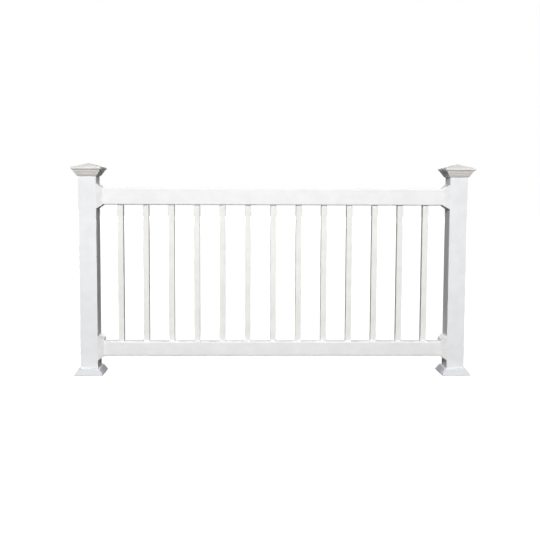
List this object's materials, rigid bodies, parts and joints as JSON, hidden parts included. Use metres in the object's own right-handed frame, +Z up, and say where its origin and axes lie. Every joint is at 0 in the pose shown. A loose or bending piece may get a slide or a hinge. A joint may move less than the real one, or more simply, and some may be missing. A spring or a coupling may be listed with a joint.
{
  "type": "vinyl railing bay with capped posts",
  "caption": "White railing bay: two capped square posts with skirts, a top and a bottom rail in flared brackets, and square balusters between them.",
  "frame": {"origin": "middle of the underside of the left post's base plate, on the floor", "axes": "+X along the rails to the right post, front faces -Y, +Z up"},
  "size_m": [2.0249, 0.15, 1.0785],
  "materials": {
    "post_vinyl": "satin",
    "rail_vinyl": "satin",
    "baluster_vinyl": "satin",
    "trim_vinyl": "satin",
    "steel": "satin"
  },
  "bodies": {
    "root": {"left_base_plate": "steel", "right_base_plate": "steel", "left_post": "post_vinyl", "right_post": "post_vinyl", "left_skirt": "trim_vinyl", "right_skirt": "trim_vinyl", "left_cap": "trim_vinyl", "right_cap": "trim_vinyl", "top_rail": "rail_vinyl", "bottom_rail": "rail_vinyl", "top_left_bracket": "trim_vinyl", "top_right_bracket": "trim_vinyl", "bottom_left_bracket": "trim_vinyl", "bottom_right_bracket": "trim_vinyl", "baluster_01": "baluster_vinyl", "baluster_02": "baluster_vinyl", "baluster_03": "baluster_vinyl", "baluster_04": "baluster_vinyl", "baluster_05": "baluster_vinyl", "baluster_06": "baluster_vinyl", "baluster_07": "baluster_vinyl", "baluster_08": "baluster_vinyl", "baluster_09": "baluster_vinyl", "baluster_10": "baluster_vinyl", "baluster_11": "baluster_vinyl", "baluster_12": "baluster_vinyl", "baluster_13": "baluster_vinyl"}
  },
  "joints": []
}
